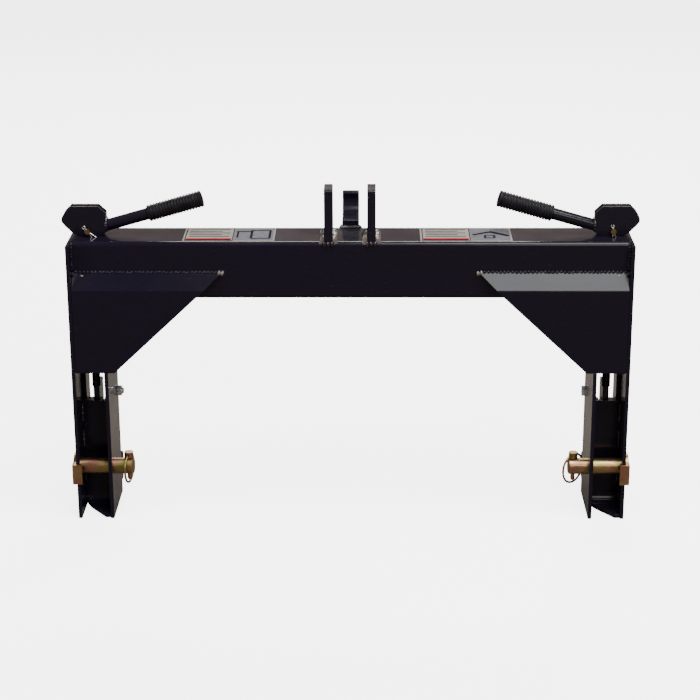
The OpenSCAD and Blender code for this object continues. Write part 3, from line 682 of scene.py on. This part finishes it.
def turned(name, outline, steps=56):
    """A closed solid of revolution about Z from an outline of (radius, height) points."""
    net = bmesh.new()
    rings = [[net.verts.new((r * cos(a), r * sin(a), z)) for r, z in outline]
             for a in (2 * pi * i / steps for i in range(steps))]
    for i in range(steps):
        here, there = rings[i], rings[(i + 1) % steps]
        for k in range(len(outline)):
            n = (k + 1) % len(outline)
            net.faces.new((here[k], there[k], there[n], here[n]))
    bmesh.ops.recalc_face_normals(net, faces=net.faces)
    mesh = bpy.data.meshes.new(name)
    net.to_mesh(mesh)
    net.free()
    return object_from(name, mesh)


HANDLE_ANGLE = radians(16)
HANDLE_FOOT = Vector((0.0235, 0, 0.005))
GRIP_START, GRIP_LENGTH, GRIP_CORE, GRIP_BORE = 0.0575, 0.073, 0.0098, 0.0079
RIB_COUNT, RIB_RADIUS = 16, 0.0014
for side, hand in zip(SIDES, (-1, 1)):
    lever = f"lever_{side}"
    pivot = Vector(next(j for j in frame["joints"] if j["name"] == f"lever_turn_{side}")["pos_m"])
    for plate in ("front", "rear"):
        edged(f"lever_cheek_{plate}_{side}", cam_black, 0.0006)
    edged(f"lever_rod_{side}", cam_black, 0.0006)
    along = Vector((-hand * cos(HANDLE_ANGLE), 0, sin(HANDLE_ANGLE)))
    foot = pivot + Vector((-hand * HANDLE_FOOT.x, 0, HANDLE_FOOT.z))
    lean = Vector((0, 0, 1)).rotation_difference(along).to_matrix().to_4x4()
    lip = 0.0012
    outline = [(GRIP_BORE, 0), (GRIP_CORE, 0), (GRIP_CORE + 0.001, 0.0008), (GRIP_CORE + 0.001, 0.0024),
               (GRIP_CORE, 0.0032), (GRIP_CORE, GRIP_LENGTH - 0.004),
               (GRIP_CORE + 0.001, GRIP_LENGTH - 0.003), (GRIP_CORE + 0.001, GRIP_LENGTH - 0.0008),
               (GRIP_CORE, GRIP_LENGTH), (GRIP_BORE - lip, GRIP_LENGTH),
               (GRIP_BORE - lip, GRIP_LENGTH - 0.0102), (GRIP_BORE, GRIP_LENGTH - 0.0112)]
    grip = turned(f"grip_sleeve_{side}", outline)
    run_tree(grip, rib_tree, {"Count": RIB_COUNT, "Pitch": (GRIP_LENGTH - 0.012) / (RIB_COUNT - 1),
                              "Start": 0.006, "Ring Radius": GRIP_CORE - 0.0001,
                              "Rib Radius": RIB_RADIUS, "Finish": rubber}, 40)
    grip.data.transform(Matrix.Translation(foot + along * GRIP_START) @ lean)
    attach(grip, lever)
    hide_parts(f"lever_grip_{side}")
    ring_x, ring_r = foot.x + hand * 0.0002, 0.0079
    weld(f"weld_handle_{side}", [
        [(ring_x, foot.y + ring_r * cos(a), foot.z + 0.0010 + ring_r * 1.03 * sin(a))
         for a in (i * 2 * pi / 40 for i in range(41))]], body=lever, reach=0.0022, scallop=0.003)

# ---- Lever pins -------------------------------------------------------------------------------
# Yellow zinc clevis pins, held by split pins whose legs are bent apart in front of the cam
# plates. The wire follows a hand-bent line swept by the bead tree without its scallops.
def wire(name, stretches, thickness, material, slot, body):
    """Round wire bent along the given stretches."""
    piece = path_object(name, stretches)
    run_tree(piece, bead_tree, {"Reach": thickness / 2, "Scallop": 1.0, "Ripple": 0.0, "Wobble": 0.0,
                                "Finish": material}, 60)
    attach(piece, body)
    return piece


for side, hand in zip(SIDES, (-1, 1)):
    latch = f"latch_{side}"
    edged(f"lever_pin_{side}", yellow_zinc, 0.0005)
    pivot = Vector(next(j for j in frame["joints"] if j["name"] == f"lever_turn_{side}")["pos_m"])
    hole = pivot + Vector((0, -0.0125, 0))
    lean = radians(44 if hand < 0 else 10)
    reach = 0.0125 if hand < 0 else 0.0080
    down = Vector((sin(lean), 0, -cos(lean)))
    out = Vector((cos(lean), 0, sin(lean)))
    eye = hole - down * 0.0056
    loop = [eye + 0.0019 * (out * sin(a) - down * (0.6 - cos(a)))
            for a in (radians(200 + i * 320 / 20) for i in range(21))]
    legs = [[hole - down * 0.0040 + out * s * 0.0005, hole + down * 0.0040 + out * s * 0.0005,
             hole + down * 0.0060 + out * s * 0.0012, hole + down * (reach + s * 0.0012) + out * s * 0.0024]
            for s in (-1, 1)]
    split = wire(f"split_pin_{side}", [loop] + legs, 0.0014, bright_zinc, "zinc_bright", latch)
    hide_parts(f"cotter_pin_{side}")

# ---- Lower link pins --------------------------------------------------------------------------
# Headless yellow zinc pins through both side plates. A bent flag on the outer end hooks the
# plate's edge, and a lynch pin with a sprung ring holds the inner end.
for side in SIDES:
    edged(f"link_pin_{side}", yellow_zinc, 0.0006)
    edged(f"pin_flag_{side}", yellow_zinc, 0.0009, 3)
    edged(f"lynch_pin_{side}", yellow_zinc, 0.0008, 3)
    edged(f"lynch_ring_{side}", yellow_zinc, 0.0002)

# ---- Decals -----------------------------------------------------------------------------------
# Laminated stickers on the beam: a pale panel with a red bar and a plain outline drawing, and
# no wording. The printed shapes are raised a hair so that they stay clean at any angle.
sticker, sticker_shader = principled("sticker_film", Roughness=0.4, Specular_IOR_Level=0.1)
sticker_net = sticker.node_tree
sticker_cloud = noise_node(sticker_net, 60, 3)
sticker_net.links.new(mix_node(sticker_net, range_node(sticker_net, sticker_cloud, 0.3, 0.7, 0, 1),
                               (0.15, 0.132, 0.118, 1), (0.20, 0.178, 0.16, 1)),
                      sticker_shader.inputs["Base Color"])


def ink(name, colour, faded):
    """Printed ink, slightly uneven over the film."""
    material, shader = principled(name, Roughness=0.45, Specular_IOR_Level=0.0)
    net = material.node_tree
    patch = range_node(net, noise_node(net, 120, 3), 0.35, 0.7, 0, 1)
    net.links.new(mix_node(net, patch, colour, faded), shader.inputs["Base Color"])
    return material


print_red = ink("print_red", (0.16, 0.004, 0.010, 1), (0.20, 0.012, 0.018, 1))
print_black = ink("print_black", (0.010, 0.010, 0.012, 1), (0.018, 0.017, 0.019, 1))
print_white = ink("print_white", (0.155, 0.15, 0.165, 1), (0.115, 0.113, 0.125, 1))
PRINT_RISE = 0.00012


def printed(name, centre, outline, material, level=1):
    """A flat printed shape: an outline of (x, y) offsets in metres about a centre on the sticker."""
    low = Vector(centre)
    high = low + Vector((0, 0, PRINT_RISE * level))
    count = len(outline)
    points = [low + Vector((x, y, 0)) for x, y in outline] + [high + Vector((x, y, 0)) for x, y in outline]
    faces = [tuple(range(count))[::-1], tuple(range(count, 2 * count))]
    faces += [(i, (i + 1) % count, count + (i + 1) % count, count + i) for i in range(count)]
    mesh = bpy.data.meshes.new(name)
    mesh.from_pydata([tuple(p) for p in points], [], faces)
    mesh.materials.append(material)
    piece = object_from(name, mesh)
    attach(piece, "frame")
    return piece


def block(x0, x1, y0, y1):
    """A rectangle's outline."""
    return [(x0, y0), (x1, y0), (x1, y1), (x0, y1)]


def bar(x0, y0, x1, y1, thick):
    """A straight stroke's outline between two points."""
    run = Vector((x1 - x0, y1 - y0)).normalized() * thick / 2
    return [(x0 + run.y, y0 - run.x), (x1 + run.y, y1 - run.x), (x1 - run.y, y1 + run.x),
            (x0 - run.y, y0 + run.x)]


def frame_outline(x0, x1, y0, y1, thick):
    """The four strokes of a drawn box."""
    return [bar(x0, y0, x1, y0, thick), bar(x0, y1, x1, y1, thick),
            bar(x0, y0, x0, y1, thick), bar(x1, y0, x1, y1, thick)]


RULES = 5
for side, hand in zip(SIDES, (-1, 1)):
    node = f"decal_{side}"
    edged(node, sticker, 0.0001, 1)
    low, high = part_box(node)
    top = ((low[0] + high[0]) / 2, (low[1] + high[1]) / 2, high[2])
    half_x, half_y = (high[0] - low[0]) / 2, (high[1] - low[1]) / 2
    panel_x = 0.006
    printed(f"print_red_bar_{side}", top, block(-half_x + 0.004, panel_x - 0.003, -half_y + 0.003,
                                                -half_y + 0.011), print_red)
    for row in range(RULES):
        y = half_y - 0.010 - row * 0.0080
        printed(f"print_rule_{side}_{row}", top, block(-half_x + 0.007, panel_x - 0.006 - row % 2 * 0.010,
                                                       y, y + 0.0022), print_black)
    for k, stroke in enumerate(frame_outline(-half_x + 0.003, panel_x - 0.001, -half_y + 0.0015,
                                             half_y - 0.0025, 0.0012)):
        printed(f"print_border_{side}_{k}", top, stroke, print_black)
    printed(f"print_panel_{side}", top, block(panel_x, half_x - 0.002, -half_y + 0.003, half_y - 0.003),
            print_white)
    mid = (panel_x + half_x) / 2
    if hand < 0:
        strokes = frame_outline(mid - 0.004, mid + 0.020, -0.020, 0.018, 0.0030) + [
            bar(mid - 0.024, 0.012, mid - 0.004, 0.012, 0.0035),
            bar(mid - 0.022, 0.012, mid - 0.022, -0.016, 0.0022)]
    else:
        strokes = [bar(mid - 0.024, -0.004, mid - 0.002, 0.010, 0.0050),
                   bar(mid - 0.002, 0.012, mid + 0.023, -0.008, 0.0065)]
        strokes += frame_outline(mid - 0.008, mid + 0.004, -0.018, -0.006, 0.0030)
    for k, stroke in enumerate(strokes):
        printed(f"print_drawing_{side}_{k}", top, stroke, print_black, 2)
